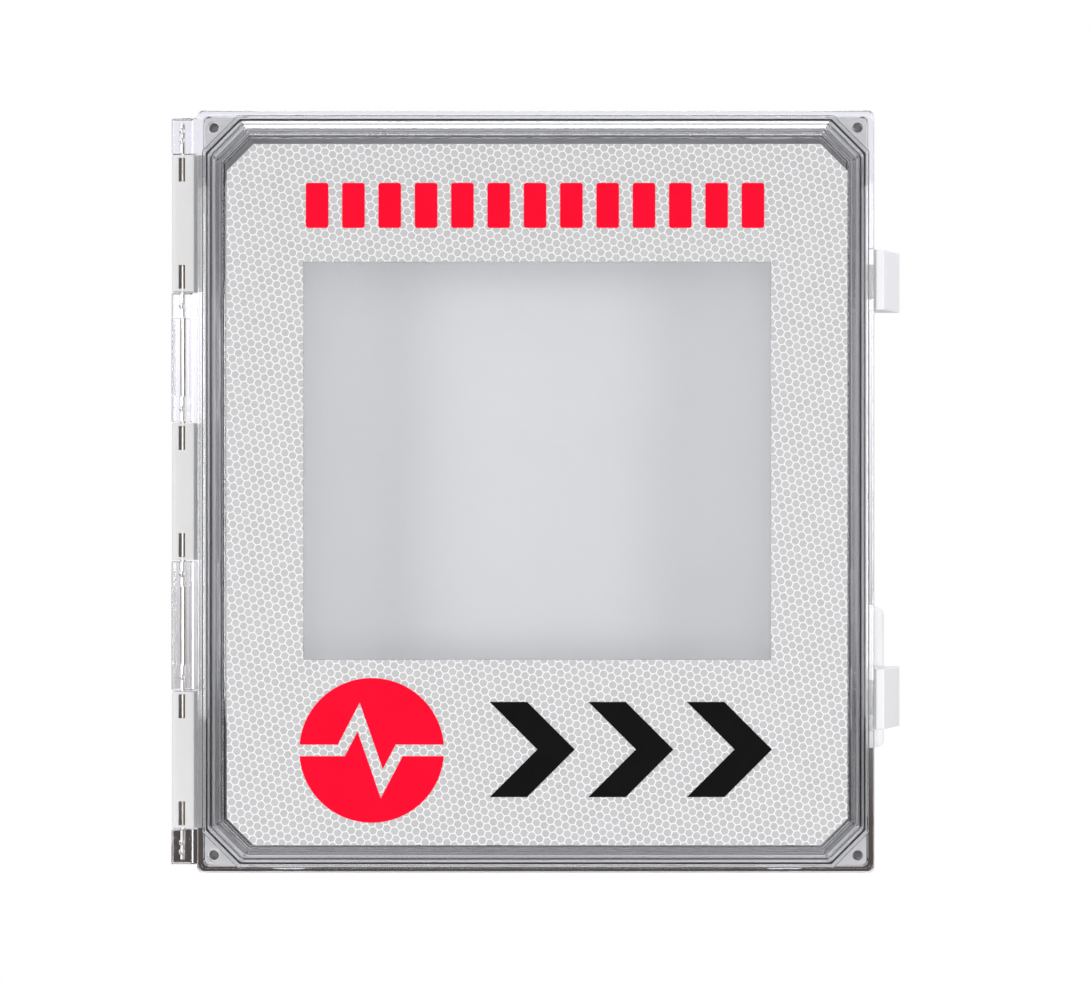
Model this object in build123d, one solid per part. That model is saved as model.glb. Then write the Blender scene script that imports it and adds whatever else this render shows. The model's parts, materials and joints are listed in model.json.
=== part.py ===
from build123d import *
import math
import os

# Weatherproof wall cabinet for a defibrillator: a moulded base, a clear cover on a full-length hinge at the
# left, two snap latches at the right. Millimetres. +Z is up, the cover faces -Y and +X is to the right of a
# person who faces it. The origin is on the wall, in the middle of the four wall screws.

# ---- driving dimensions --------------------------------------------------------------------------------
COVER_WIDTH = 384.6
COVER_HEIGHT = 433.0
BASE_DEPTH = 166.0          # outside of the back wall to the rim
FOOT_THICKNESS = 6.0        # holds the back of the base off the wall

# Clear cover.
COVER_WALL = 3.2
EDGE_RADIUS = 3.4           # corners of the cover, seen from the front
FLANGE_THICKNESS = 4.5
SKIRT_DEPTH = 9.0           # how far the cover's edge reaches back past the rim
STEP_INSET = 3.2            # cover edge to the low step
STEP_RISE = 4.0
CORNER_CUT = 20.3           # 45 degree cut of the step's corners, along one side
DOME_INSET = 6.2            # cover edge to the foot of the raised panel
DOME_RISE = 18.0
SHOULDER_INSET = 11.4       # cover edge to the edge where the bevel steepens
SHOULDER_RISE = 6.2
FACE_INSET = 16.0           # cover edge to the edge of the flat face
FACE_CUT = 15.2
DOME_EDGE_RADIUS = 3.0
CORNER_HOLE_INSET = (9.2, 9.6)
CORNER_HOLE_RADIUS = 3.25
CORNER_RING_RADIUS = 4.1
CORNER_DIMPLE_RADIUS = 1.5
BLIND_HOLE_RADIUS = 2.9     # screw hole in the base behind a corner hole

# Base.
BASE_WALL = 4.0
WALL_INSET = 8.6            # cover edge to the outside of the base wall
RIM_THICKNESS = 4.0
GUSSET_DEPTH = 16.0         # solid corners behind the rim
BASE_EDGE_RADIUS = 5.0
SKIRT_GAP = 1.0             # skirt to rim
FLANGE_GAP = 0.5            # flange to rim

# Gasket.
GASKET_INSET = 5.0          # cover edge to the outside of the gasket
GASKET_WIDTH = 3.6
GASKET_THICKNESS = 3.0

# Hinge: three barrels on the base, two long and two short knuckles on the cover, one pin.
HINGE_OFFSET = 9.45        # cover edge to the pin's axis
HINGE_END_INSET = 3.8       # cover's end to the end of the hinge
HINGE_GAP = 0.8             # between a barrel and the next knuckle
BARREL_GROWTH = 1.1         # added to each end of a barrel and taken off the knuckle beside it
BARREL_HALF = 5.8
SHOULDER_CLEARANCE = 0.5    # barrel's shoulder to the cover's edge as it swings past
KNUCKLE_HALF = 6.1
HINGE_CORNER = 2.4
HINGE_END_ROUND = 0.6
END_KNUCKLE_LENGTH = 20.4
PIN_RADIUS = 1.6
PIN_CLEARANCE = 0.05
PIN_CAP = 2.5               # closed end of each short knuckle
WEB_THICKNESS = 4.1
WEB_CLEARANCE = 1.5
BARREL_SLOT_WIDTH = 3.8
BARREL_SLOT_LENGTH = 13.6
BARREL_SLOT_MARGIN = 1.6
KNUCKLE_WINDOW_LENGTH = 44.5
KNUCKLE_WINDOW_WIDTH = 8.6
KNUCKLE_DIMPLE_RADIUS = 2.0

# Snap latches.
LATCH_INSETS = {"upper": 95.9, "lower": 98.2}    # cover's near end to the latch's middle
LATCH_HEIGHT = 34.5
LATCH_PIN_RADIUS = 1.5
LATCH_LUG_RADIUS = 3.0
LATCH_LUG_LENGTH = 19.0
LATCH_SIDE_GAP = 0.4
LATCH_ROOT_SETBACK = 1.2    # pin's axis to the front of the lug's root
LATCH_HEEL = 5.5            # largest radius of the heel about the pin
LATCH_WALL = 2.6
LATCH_EDGE_ROUND = 0.8
LATCH_REACH = 28.6          # pin to the finger edge, front to back
LATCH_FLARE = 15.4          # cover edge to the finger edge, sideways minus the fit
CATCH_REACH = 12.1          # base wall to the tip of the catch
CATCH_THICKNESS = 4.5
CATCH_LENGTH = 20.0
LIP_CLEARANCE = 0.4

# Panel, its bosses and fasteners.
PANEL_MARGIN = 13.0         # inside of the base wall to the panel's edge
PANEL_THICKNESS = 2.5
PANEL_BOSS_HEIGHT = 12.0
BOSS_RADIUS = 6.5
BOSS_MARGIN = (16.0, 24.0)  # panel edge to the screws
INSERT_RADIUS = 3.5
INSERT_LENGTH = 9.0
SCREW_RADIUS = 2.5
SCREW_HEAD_RADIUS = 4.4
SCREW_HEAD_HEIGHT = 3.2
WASHER_RADIUS = 6.0
WASHER_THICKNESS = 1.2
HOLE_CLEARANCE = 0.4

# Mounting feet.
WALL_HOLE_INSET_X = 39.9    # cover's side to the wall holes
WALL_HOLE_OUTSET_Z = 5.75   # cover's end to the wall holes, outwards
WALL_HOLE_RADIUS = 4.0
FOOT_WIDTH = 34.0
FOOT_OVERLAP = 50.25        # wall hole to the foot's inner end
FOOT_MARGIN = 10.0          # wall hole to the foot's outer end
FOOT_EDGE_ROUND = 1.0
FOOT_SHOULDER = 7.0
FOOT_SHOULDER_GAP = 0.4
FOOT_SCREW_SPACING = 34.25  # wall hole to the foot's own screw
FOOT_HEAD_RADIUS = 5.0
FOOT_HEAD_SINK = 0.4

# Reflective film and its marks, on the outside of the cover.
FILM_INSET = (18.1, 19.7)   # cover's edge to the film, side and end
FILM_CENTRE = (0.9, -1.7)
FILM_CUT = 15.0
FILM_THICKNESS = 0.4
WINDOW_SIDE = 42.9          # film's edge to the window
WINDOW_TOP = 66.1
WINDOW_BOTTOM = 104.0
MARK_THICKNESS = 0.25
BLOCK_COUNT = 13
BLOCK_ROW = (257.3, 25.3)
BLOCK_ROW_PLACE = (-0.3, 31.6)       # middle of the row: sideways, and above the window
BLOCK_FILL = 0.62           # width of a block over the pitch
ROUND_MARK_RADIUS = 40.6
ROUND_MARK_PLACE = (-92.0, 50.8)     # sideways, and below the window
PULSE_WIDTH = 6.5
CHEVRON_COUNT = 3
CHEVRON_ROW = (158.4, 53.4)
CHEVRON_PLACE = (53.5, 50.3)
CHEVRON_STROKE = 21.0

# Alarm on the right wall.
ALARM_HEIGHT = 82.0
ALARM_INSET = 108.0         # cover's lower end to the middle of the housing
ALARM_LENGTH = 60.0
ALARM_SETBACK = 50.0        # rim to the front of the housing
ALARM_REACH = 19.6          # how far it stands off the base wall
ALARM_WALL = 2.5
ALARM_EDGE_RADIUS = 4.5
ALARM_PLATE_THICKNESS = 2.0
ALARM_PLATE_GAP = 0.3
ALARM_BOSS_RADIUS = 4.0
ALARM_BOSS_SPACING = 66.0
ALARM_SCREW_RADIUS = 2.0
ALARM_HEAD_RADIUS = 3.8
ALARM_HEAD_HEIGHT = 2.6
CELL_RADIUS = 5.2
CELL_LENGTH = 44.5
BOARD_SIZE = (24.0, 52.0)
BOARD_THICKNESS = 1.6
SOUNDER_RADIUS = 11.0
SOUNDER_HEIGHT = 9.0
SOUND_HOLE_RADIUS = 1.2
SOUND_HOLE_RING = 6.0
SWITCH_SIZE = (6.0, 8.0, 30.0)
SWITCH_HEIGHT = -60.0
SWITCH_SETBACK = 6.0
MAGNET_SIZE = (7.0, 24.0)
MAGNET_GAP = 12.0

# ---- worked-out places ---------------------------------------------------------------------------------
EDGE_X = COVER_WIDTH / 2
EDGE_Z = COVER_HEIGHT / 2
BACK_Y = -FOOT_THICKNESS
FLOOR_Y = BACK_Y - BASE_WALL                     # inside of the back wall
RIM_Y = BACK_Y - BASE_DEPTH
FLANGE_BACK_Y = RIM_Y - FLANGE_GAP
FLANGE_FRONT_Y = FLANGE_BACK_Y - FLANGE_THICKNESS
SKIRT_END_Y = RIM_Y + SKIRT_DEPTH
STEP_FRONT_Y = FLANGE_FRONT_Y - STEP_RISE
COVER_FRONT_Y = STEP_FRONT_Y - DOME_RISE
COVER_INSIDE_Y = COVER_FRONT_Y + COVER_WALL
WALL_X = EDGE_X - WALL_INSET                     # outside of the base's side walls
WALL_Z = EDGE_Z - WALL_INSET
RIM_INSET = COVER_WALL + SKIRT_GAP
HINGE_X = -EDGE_X - HINGE_OFFSET
HINGE_Y = SKIRT_END_Y
HINGE_END = EDGE_Z - HINGE_END_INSET
HINGE_PITCH = (HINGE_END - END_KNUCKLE_LENGTH - BARREL_GROWTH) / 2.5
LATCH_X = EDGE_X + LATCH_LUG_RADIUS
LATCH_Y = FLANGE_BACK_Y + LATCH_HEEL + LATCH_SIDE_GAP
PANEL_BACK_Y = FLOOR_Y - PANEL_BOSS_HEIGHT
PANEL_FRONT_Y = PANEL_BACK_Y - PANEL_THICKNESS
PANEL_HALF = (WALL_X - BASE_WALL - PANEL_MARGIN, WALL_Z - BASE_WALL - PANEL_MARGIN)
PANEL_SCREWS = (PANEL_HALF[0] - BOSS_MARGIN[0], PANEL_HALF[1] - BOSS_MARGIN[1])
LATCH_HEIGHTS = {"upper": EDGE_Z - LATCH_INSETS["upper"], "lower": LATCH_INSETS["lower"] - EDGE_Z}
WALL_HOLE_X = EDGE_X - WALL_HOLE_INSET_X
WALL_HOLE_Z = EDGE_Z + WALL_HOLE_OUTSET_Z
FOOT_SCREW_Z = WALL_HOLE_Z - FOOT_SCREW_SPACING
FILM_SIZE = (COVER_WIDTH - 2 * FILM_INSET[0], COVER_HEIGHT - 2 * FILM_INSET[1])
WINDOW_SIZE = (FILM_SIZE[0] - 2 * WINDOW_SIDE, FILM_SIZE[1] - WINDOW_TOP - WINDOW_BOTTOM)
WINDOW_CENTRE = (FILM_CENTRE[0], FILM_CENTRE[1] + (WINDOW_BOTTOM - WINDOW_TOP) / 2)
WINDOW_HIGH = WINDOW_CENTRE[1] + WINDOW_SIZE[1] / 2
WINDOW_LOW = WINDOW_CENTRE[1] - WINDOW_SIZE[1] / 2
ALARM_CENTRE_Z = ALARM_INSET - EDGE_Z
ALARM_FRONT_Y = RIM_Y + ALARM_SETBACK
ALARM_MIDDLE_Y = ALARM_FRONT_Y + ALARM_LENGTH / 2
CORNERS = [(side, level) for side in (-1, 1) for level in (-1, 1)]


# ---- helpers -------------------------------------------------------------------------------------------
def facing(y, x=0.0, z=0.0):
    """Plane that faces the front, with its own x to the right and its own y up."""
    return Plane(origin=(x, y, z), x_dir=(1, 0, 0), z_dir=(0, -1, 0))


def level(z, x=0.0, y=0.0):
    """Horizontal plane at a height, with its own axes along X and Y."""
    return Plane(origin=(x, y, z))


def sideways(x, y=0.0, z=0.0):
    """Plane that faces the right, with its own x to the back and its own y up."""
    return Plane(origin=(x, y, z), x_dir=(0, 1, 0), z_dir=(1, 0, 0))


def slab(sketch, y_back, y_front, x=0.0, z=0.0):
    return extrude(facing(y_back, x, z) * sketch, y_back - y_front)


def column(sketch, z_low, z_high, x=0.0, y=0.0):
    return extrude(level(z_low, x, y) * sketch, z_high - z_low)


def rounded_sheet(inset, radius):
    return RectangleRounded(COVER_WIDTH - 2 * inset, COVER_HEIGHT - 2 * inset, radius)


def octagon(inset, cut):
    """Rectangle an even distance inside the cover's edge, with its corners cut at 45 degrees."""
    sheet = Rectangle(COVER_WIDTH - 2 * inset, COVER_HEIGHT - 2 * inset)
    return chamfer(sheet.vertices(), cut)


def step_octagon(inset):
    """The step's outline moved inwards by the same distance all round."""
    return octagon(inset, CORNER_CUT - (inset - STEP_INSET) * (2 - math.sqrt(2)))


def edges_at(solid, y):
    return solid.edges().filter_by_position(Axis.Y, y - 0.01, y + 0.01)


# ---- hinge ---------------------------------------------------------------------------------------------
def barrel_heights():
    half = HINGE_PITCH / 2 + BARREL_GROWTH - HINGE_GAP / 2
    return [(2 * i * HINGE_PITCH - half, 2 * i * HINGE_PITCH + half) for i in (-1, 0, 1)]


def knuckle_heights():
    half = HINGE_PITCH / 2 - BARREL_GROWTH - HINGE_GAP / 2
    middle = [(side * HINGE_PITCH - half, side * HINGE_PITCH + half) for side in (-1, 1)]
    inner = 2.5 * HINGE_PITCH + BARREL_GROWTH + HINGE_GAP / 2
    return middle, [(-HINGE_END, -inner), (inner, HINGE_END)]


def rounded_block(half, z_low, z_high):
    """Square hinge block about the pin's axis, with its long edges and its ends rounded."""
    block = column(RectangleRounded(2 * half, 2 * half, HINGE_CORNER), z_low, z_high, HINGE_X, HINGE_Y)
    ends = [e for face in block.faces().sort_by(Axis.Z)[::len(block.faces()) - 1] for e in face.edges()]
    return fillet(ends, HINGE_END_ROUND)


def barrel(z_low, z_high):
    """Barrel on the base, with a shoulder that fills the gap to the cover, a web and two slots for the pin."""
    reach = HINGE_OFFSET - SHOULDER_CLEARANCE
    body = rounded_block(BARREL_HALF, z_low, z_high)
    shoulder = Circle(reach) & Pos(reach / 2, 0) * Rectangle(reach, 2 * BARREL_HALF)
    body += column(shoulder, z_low, z_high, HINGE_X, HINGE_Y)
    web_length = -WALL_X - HINGE_X
    web_y = SKIRT_END_Y + WEB_CLEARANCE + WEB_THICKNESS / 2
    body += column(Rectangle(web_length, WEB_THICKNESS), z_low, z_high, HINGE_X + web_length / 2, web_y)
    body -= column(Circle(PIN_RADIUS), z_low, z_high, HINGE_X, HINGE_Y)
    for z in (z_low + BARREL_SLOT_MARGIN + BARREL_SLOT_LENGTH / 2,
              z_high - BARREL_SLOT_MARGIN - BARREL_SLOT_LENGTH / 2):
        body -= slab(Rectangle(BARREL_SLOT_WIDTH, BARREL_SLOT_LENGTH), HINGE_Y + PIN_RADIUS,
                     HINGE_Y - BARREL_HALF, HINGE_X, z)
    return body


def knuckle(z_low, z_high):
    """Clear knuckle with the block that joins it to the cover's skirt."""
    body = rounded_block(KNUCKLE_HALF, z_low, z_high)
    root_length = HINGE_OFFSET + COVER_WALL
    body += column(Rectangle(root_length, KNUCKLE_HALF), z_low, z_high,
                   HINGE_X + root_length / 2, HINGE_Y - KNUCKLE_HALF / 2)
    return body


def knuckle_dimples(z_low, z_high):
    reach = KNUCKLE_HALF + KNUCKLE_DIMPLE_RADIUS * 0.5
    margin = 2.2 * HINGE_CORNER + KNUCKLE_DIMPLE_RADIUS
    return [Pos(HINGE_X, HINGE_Y - reach, z) * Sphere(KNUCKLE_DIMPLE_RADIUS)
            for z in (z_low + margin, z_high - margin)]


def hinge_pin():
    half = HINGE_END - PIN_CAP - PIN_CLEARANCE
    pin = column(Circle(PIN_RADIUS), -half, half, HINGE_X, HINGE_Y)
    return chamfer(pin.edges().filter_by(GeomType.CIRCLE), 0.3)


# ---- cover ---------------------------------------------------------------------------------------------
def bevel_profile(wall):
    """Inset and depth of the bevel's foot, shoulder and face edge, moved inwards by the wall's thickness."""
    foot = (DOME_INSET, STEP_FRONT_Y)
    shoulder = (SHOULDER_INSET, STEP_FRONT_Y - SHOULDER_RISE)
    face = (FACE_INSET, COVER_FRONT_Y)
    slopes = []
    for start, end in ((foot, shoulder), (shoulder, face)):
        run, rise = end[0] - start[0], start[1] - end[1]
        slopes.append((rise / math.hypot(run, rise), run / math.hypot(run, rise)))
    slopes.append((0.0, 1.0))

    def moved(point, one, two):
        share = wall / (1 + one[0] * two[0] + one[1] * two[1])
        return point[0] + share * (one[0] + two[0]), point[1] + share * (one[1] + two[1])

    return (foot[0] + wall / slopes[0][0], foot[1]), moved(shoulder, *slopes[:2]), moved(face, *slopes[1:])


def dome(wall):
    """Raised panel in two bevels, or with a wall's thickness the hollow behind it."""
    corners = bevel_profile(wall)
    cuts = [CORNER_CUT - (corners[0][0] - STEP_INSET) * (2 - math.sqrt(2)), 0,
            FACE_CUT - (corners[2][0] - FACE_INSET) * (2 - math.sqrt(2))]
    cuts[1] = (cuts[0] + cuts[2]) / 2
    outlines = [facing(y) * octagon(inset, cut) for (inset, y), cut in zip(corners, cuts)]
    return loft(outlines[:2], ruled=True) + loft(outlines[1:], ruled=True)


def cover_shell():
    raised = dome(0)
    raised = fillet([e for e in raised.edges() if e not in edges_at(raised, STEP_FRONT_Y)], DOME_EDGE_RADIUS)
    step = slab(step_octagon(STEP_INSET), FLANGE_BACK_Y, STEP_FRONT_Y)
    step = fillet(edges_at(step, STEP_FRONT_Y), 1.0)
    flange = slab(rounded_sheet(0, EDGE_RADIUS), SKIRT_END_Y, FLANGE_FRONT_Y)
    flange = fillet(edges_at(flange, FLANGE_FRONT_Y), 1.0)
    flange -= slab(rounded_sheet(COVER_WALL, EDGE_RADIUS), SKIRT_END_Y, FLANGE_BACK_Y)
    body = flange + step + raised
    body -= dome(COVER_WALL)
    body -= slab(step_octagon(bevel_profile(COVER_WALL)[0][0]), FLANGE_BACK_Y, STEP_FRONT_Y)
    body -= gasket_ring(GASKET_THICKNESS)

    middle, ends = knuckle_heights()
    for z_low, z_high in middle + ends:
        body += knuckle(z_low, z_high)
    for z_low, z_high in middle + ends:
        for dimple in knuckle_dimples(z_low, z_high):
            body -= dimple
    for z_low, z_high in middle:
        centre = (z_low + z_high) / 2
        body -= slab(Rectangle(KNUCKLE_WINDOW_WIDTH, KNUCKLE_WINDOW_LENGTH), HINGE_Y,
                     HINGE_Y - KNUCKLE_HALF, HINGE_X, centre)
    bore_end = HINGE_END - PIN_CAP
    body -= column(Circle(PIN_RADIUS + PIN_CLEARANCE), -bore_end, bore_end, HINGE_X, HINGE_Y)

    for side, high in CORNERS:
        x = side * (EDGE_X - CORNER_HOLE_INSET[0])
        z = high * (EDGE_Z - CORNER_HOLE_INSET[1])
        if side < 0:
            body -= slab(Circle(CORNER_HOLE_RADIUS), FLANGE_BACK_Y, FLANGE_FRONT_Y, x, z)
            body -= slab(Circle(CORNER_RING_RADIUS), FLANGE_FRONT_Y + 0.5, FLANGE_FRONT_Y, x, z)
        else:
            ring = Circle(CORNER_RING_RADIUS) - Circle(CORNER_RING_RADIUS - 1.0)
            body += slab(ring, FLANGE_FRONT_Y, FLANGE_FRONT_Y - 0.5, x, z)
            body -= slab(Circle(CORNER_DIMPLE_RADIUS), FLANGE_FRONT_Y + 1.5, FLANGE_FRONT_Y, x, z)

    for z in LATCH_HEIGHTS.values():
        body = latch_pocket(body, z)
    return body


def latch_pocket(body, z):
    """Opening in the skirt for the latch's heel, and the lug that carries its pin."""
    half = LATCH_HEIGHT / 2 + LATCH_SIDE_GAP
    root_y = LATCH_Y + LATCH_ROOT_SETBACK
    body -= slab(Rectangle(COVER_WALL, 2 * half), root_y, FLANGE_BACK_Y, EDGE_X - COVER_WALL / 2, z)
    root_depth = SKIRT_END_Y - root_y
    root_length = LATCH_LUG_RADIUS + COVER_WALL
    low, high = z - LATCH_LUG_LENGTH / 2, z + LATCH_LUG_LENGTH / 2
    body += column(Circle(LATCH_LUG_RADIUS), low, high, LATCH_X, LATCH_Y)
    body += column(Rectangle(root_length, root_depth), low, high,
                   LATCH_X - root_length / 2, root_y + root_depth / 2)
    body -= column(Circle(LATCH_PIN_RADIUS), low, high, LATCH_X, LATCH_Y)
    return body


def gasket_ring(thickness):
    ring = step_octagon(GASKET_INSET) - step_octagon(GASKET_INSET + GASKET_WIDTH)
    return slab(ring, RIM_Y, RIM_Y - thickness)


# ---- latches -------------------------------------------------------------------------------------------
def latch(z):
    """Snap latch: a flared skin on two cheeks, a heel in front of the pin and a lip behind the catch."""
    finger_x = EDGE_X + LATCH_FLARE + LATCH_LUG_RADIUS
    finger_y = LATCH_Y + LATCH_REACH
    front_y = LATCH_Y - LATCH_HEEL + 0.6
    inner_x = LATCH_X - LATCH_LUG_RADIUS + LATCH_SIDE_GAP
    outer_x = LATCH_X + LATCH_LUG_RADIUS
    side = Polyline((inner_x + 1.2, front_y), (outer_x, front_y), (finger_x, finger_y),
                    (inner_x + 2.2, finger_y), (inner_x, LATCH_Y + LATCH_LUG_RADIUS),
                    (inner_x, front_y + 1.2), close=True)
    low, high = z - LATCH_HEIGHT / 2, z + LATCH_HEIGHT / 2
    body = extrude(level(low) * make_face(side), high - low)
    body = fillet([e for e in body.edges() if e.center().Y < front_y + 0.1 or e.center().X > outer_x - 0.1
                   or e.center().Y > finger_y - 0.1], LATCH_EDGE_ROUND)

    run_x, run_y = finger_x - outer_x, finger_y - front_y
    run = math.hypot(run_x, run_y)
    shift = LATCH_WALL * run / run_y                      # skin's thickness, measured along X
    slope = run_x / run_y
    room = (high - low) / 2 - LATCH_WALL
    lip_y = finger_y - CATCH_THICKNESS
    hollow_front = front_y + LATCH_WALL * 0.6
    inside = Polyline((inner_x - 4, hollow_front),
                      (outer_x - shift + slope * (hollow_front - front_y), hollow_front),
                      (outer_x - shift + slope * (lip_y - front_y), lip_y),
                      (inner_x - 4, lip_y), close=True)
    body -= extrude(level(z - room) * make_face(inside), 2 * room)
    lip_x = WALL_X + CATCH_REACH + LIP_CLEARANCE
    body -= extrude(level(z - room, (inner_x - 4 + lip_x) / 2, lip_y + CATCH_THICKNESS / 2)
                    * Rectangle(lip_x - inner_x + 4, CATCH_THICKNESS + 0.01), 2 * room)
    for cheek_z in (low, high):
        hub_low, hub_high = sorted((cheek_z, z + math.copysign(LATCH_LUG_LENGTH / 2 + LATCH_SIDE_GAP,
                                                               cheek_z - z)))
        body += column(Circle(LATCH_LUG_RADIUS - LATCH_SIDE_GAP), hub_low, hub_high, LATCH_X, LATCH_Y)
    body -= column(Circle(LATCH_PIN_RADIUS + PIN_CLEARANCE), low, high, LATCH_X, LATCH_Y)
    lug_room = LATCH_LUG_LENGTH / 2 + LATCH_SIDE_GAP
    body -= column(Circle(LATCH_LUG_RADIUS + LATCH_SIDE_GAP), z - lug_room, z + lug_room, LATCH_X, LATCH_Y)
    return body


def latch_pin(z):
    half = LATCH_HEIGHT / 2 - 0.5
    pin = column(Circle(LATCH_PIN_RADIUS), z - half, z + half, LATCH_X, LATCH_Y)
    return chamfer(pin.edges().filter_by(GeomType.CIRCLE), 0.3)


# ---- base ----------------------------------------------------------------------------------------------
def base_shell():
    body = slab(step_octagon(WALL_INSET), BACK_Y, RIM_Y)
    upright = [e for e in body.edges() if e not in edges_at(body, RIM_Y)]
    body = fillet(upright, BASE_EDGE_RADIUS)
    rim = slab(rounded_sheet(RIM_INSET, EDGE_RADIUS), RIM_Y + RIM_THICKNESS, RIM_Y)
    rim_width, rim_height = COVER_WIDTH - 2 * RIM_INSET, COVER_HEIGHT - 2 * RIM_INSET
    corners = rounded_sheet(RIM_INSET, EDGE_RADIUS) - chamfer(Rectangle(rim_width, rim_height).vertices(),
                                                              CORNER_CUT)
    body += rim
    body += slab(corners, RIM_Y + GUSSET_DEPTH, RIM_Y)
    body -= slab(step_octagon(WALL_INSET + BASE_WALL), FLOOR_Y, RIM_Y)

    body += [barrel(z_low, z_high) for z_low, z_high in barrel_heights()]
    for side, high in CORNERS:
        x = side * (EDGE_X - CORNER_HOLE_INSET[0])
        z = high * (EDGE_Z - CORNER_HOLE_INSET[1])
        body -= slab(Circle(BLIND_HOLE_RADIUS), RIM_Y + GUSSET_DEPTH - 2, RIM_Y, x, z)
    for z in LATCH_HEIGHTS.values():
        body += catch(z)
    for side, high in CORNERS:
        x, z = side * PANEL_SCREWS[0], high * PANEL_SCREWS[1]
        body += slab(Circle(BOSS_RADIUS), FLOOR_Y + 1, PANEL_BACK_Y, x, z)
        body -= slab(Circle(INSERT_RADIUS), PANEL_BACK_Y + INSERT_LENGTH, PANEL_BACK_Y, x, z)
        x, z = side * WALL_HOLE_X, high * FOOT_SCREW_Z
        body += slab(Circle(BOSS_RADIUS), FLOOR_Y + 1, BACK_Y - INSERT_LENGTH - BASE_WALL, x, z)
        body -= slab(Circle(INSERT_RADIUS), BACK_Y, BACK_Y - INSERT_LENGTH, x, z)
    for y, z in alarm_screw_places():
        body -= extrude(sideways(WALL_X - BASE_WALL, y, z) * Circle(ALARM_SCREW_RADIUS + 0.2), BASE_WALL)
    return body


def catch(z):
    """Ledge on the right wall that the latch's lip snaps behind, with a sloped front."""
    back_y = LATCH_Y + LATCH_REACH - CATCH_THICKNESS - LATCH_SIDE_GAP
    front_y = back_y - CATCH_THICKNESS
    side = Polyline((WALL_X - 1, back_y), (WALL_X + CATCH_REACH, back_y),
                    (WALL_X + CATCH_REACH, back_y - 2), (WALL_X + CATCH_REACH - 3, front_y),
                    (WALL_X - 1, front_y), close=True)
    body = extrude(level(z - CATCH_LENGTH / 2) * make_face(side), CATCH_LENGTH)
    rib = Polyline((WALL_X - 1, back_y), (WALL_X + CATCH_REACH * 0.7, back_y),
                   (WALL_X - 1, back_y + CATCH_REACH), close=True)
    for rib_z in (z - CATCH_LENGTH / 4 - 1, z + CATCH_LENGTH / 4 - 1):
        body += extrude(level(rib_z) * make_face(rib), 2)
    return body


# ---- panel and fasteners -------------------------------------------------------------------------------
def corner_places(half_x, half_z):
    return [(side * half_x, high * half_z) for side, high in CORNERS]


def back_panel():
    sheet = RectangleRounded(2 * PANEL_HALF[0], 2 * PANEL_HALF[1], 9.0)
    body = slab(sheet, PANEL_BACK_Y, PANEL_FRONT_Y)
    for x, z in corner_places(*PANEL_SCREWS):
        body -= slab(Circle(SCREW_RADIUS + HOLE_CLEARANCE), PANEL_BACK_Y, PANEL_FRONT_Y, x, z)
    return body


def insert(x, z, y_open, y_closed):
    front, back = min(y_open, y_closed), max(y_open, y_closed)
    return slab(Circle(INSERT_RADIUS) - Circle(SCREW_RADIUS), back, front, x, z)


def panel_screw(x, z):
    head_y = PANEL_FRONT_Y - WASHER_THICKNESS
    body = slab(Circle(SCREW_RADIUS), PANEL_BACK_Y + INSERT_LENGTH - 1, head_y, x, z)
    head = slab(Circle(SCREW_HEAD_RADIUS), head_y, head_y - SCREW_HEAD_HEIGHT, x, z)
    head = fillet(edges_at(head, head_y - SCREW_HEAD_HEIGHT), 1.0)
    head -= slab(RegularPolygon(2.2, 6), head_y - SCREW_HEAD_HEIGHT + 1.8, head_y - SCREW_HEAD_HEIGHT, x, z)
    return body + head


def panel_washer(x, z):
    ring = Circle(WASHER_RADIUS) - Circle(SCREW_RADIUS + HOLE_CLEARANCE)
    return slab(ring, PANEL_FRONT_Y, PANEL_FRONT_Y - WASHER_THICKNESS, x, z)


# ---- feet ----------------------------------------------------------------------------------------------
def foot(side, high):
    """Flat foot under a back corner, with a shoulder against the end wall and a hole for a wall screw."""
    x = side * WALL_HOLE_X
    length = FOOT_MARGIN + FOOT_OVERLAP
    middle = high * (WALL_HOLE_Z + FOOT_MARGIN - length / 2)
    body = slab(RectangleRounded(FOOT_WIDTH, length, FOOT_MARGIN), 0, BACK_Y, x, middle)
    body = fillet(edges_at(body, BACK_Y), FOOT_EDGE_ROUND)
    shoulder_low = WALL_Z + FOOT_SHOULDER_GAP
    shoulder_length = FOOT_SHOULDER * 0.6
    shoulder = slab(Rectangle(FOOT_WIDTH - 2 * FOOT_MARGIN, shoulder_length), BACK_Y,
                    BACK_Y - FOOT_SHOULDER, x, high * (shoulder_low + shoulder_length / 2))
    body += shoulder
    body -= slab(Circle(WALL_HOLE_RADIUS), 0, BACK_Y - FOOT_SHOULDER, x, high * WALL_HOLE_Z)
    hole_z = high * FOOT_SCREW_Z
    body -= slab(Circle(SCREW_RADIUS + HOLE_CLEARANCE), 0, BACK_Y, x, hole_z)
    body -= countersink(x, hole_z, HOLE_CLEARANCE)
    return body


def countersink(x, z, extra):
    """Cone of a countersunk head with its wide end at the wall."""
    depth = FOOT_HEAD_RADIUS - SCREW_RADIUS
    wide = facing(-FOOT_HEAD_SINK, x, z) * Circle(FOOT_HEAD_RADIUS + extra)
    narrow = facing(-FOOT_HEAD_SINK - depth, x, z) * Circle(SCREW_RADIUS + extra)
    cone = loft([wide, narrow], ruled=True)
    if extra:
        cone += slab(Circle(FOOT_HEAD_RADIUS + extra), 0, -FOOT_HEAD_SINK, x, z)
    return cone


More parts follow.
